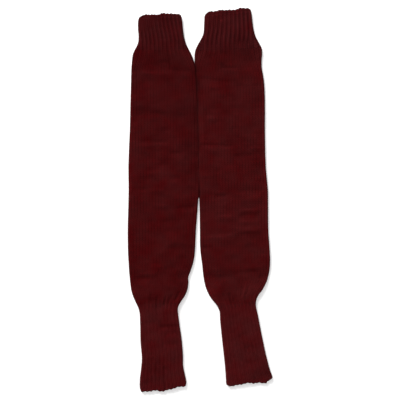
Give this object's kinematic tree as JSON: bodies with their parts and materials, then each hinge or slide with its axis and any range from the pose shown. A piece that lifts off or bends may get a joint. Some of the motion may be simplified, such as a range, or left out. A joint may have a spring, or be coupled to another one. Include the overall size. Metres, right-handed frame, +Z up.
{
  "type": "pair of knitted leg warmers laid flat",
  "caption": "Pair of long knitted leg warmers laid flat side by side, with ribbed top cuffs, plain legs and long ribbed ankle cuffs.",
  "frame": {"origin": "middle of the pair's bounding box, on the surface that it lies on", "axes": "+Z up from the surface, +Y along the leg warmers towards the top cuffs, +X across the pair from the left leg warmer to the right one"},
  "size_m": [0.2593, 0.6886, 0.0086],
  "materials": {
    "top_cuff_rib": "matt burgundy wool yarn in 1x1 rib",
    "leg_knit": "matt burgundy wool yarn in stocking stitch, slightly heathered",
    "ankle_cuff_rib": "matt burgundy wool yarn in 1x1 rib, slightly heathered"
  },
  "bodies": {
    "root": {"left_top_cuff": "top_cuff_rib", "left_leg": "leg_knit", "left_ankle_cuff": "ankle_cuff_rib", "right_top_cuff": "top_cuff_rib", "right_leg": "leg_knit", "right_ankle_cuff": "ankle_cuff_rib"}
  },
  "joints": []
}
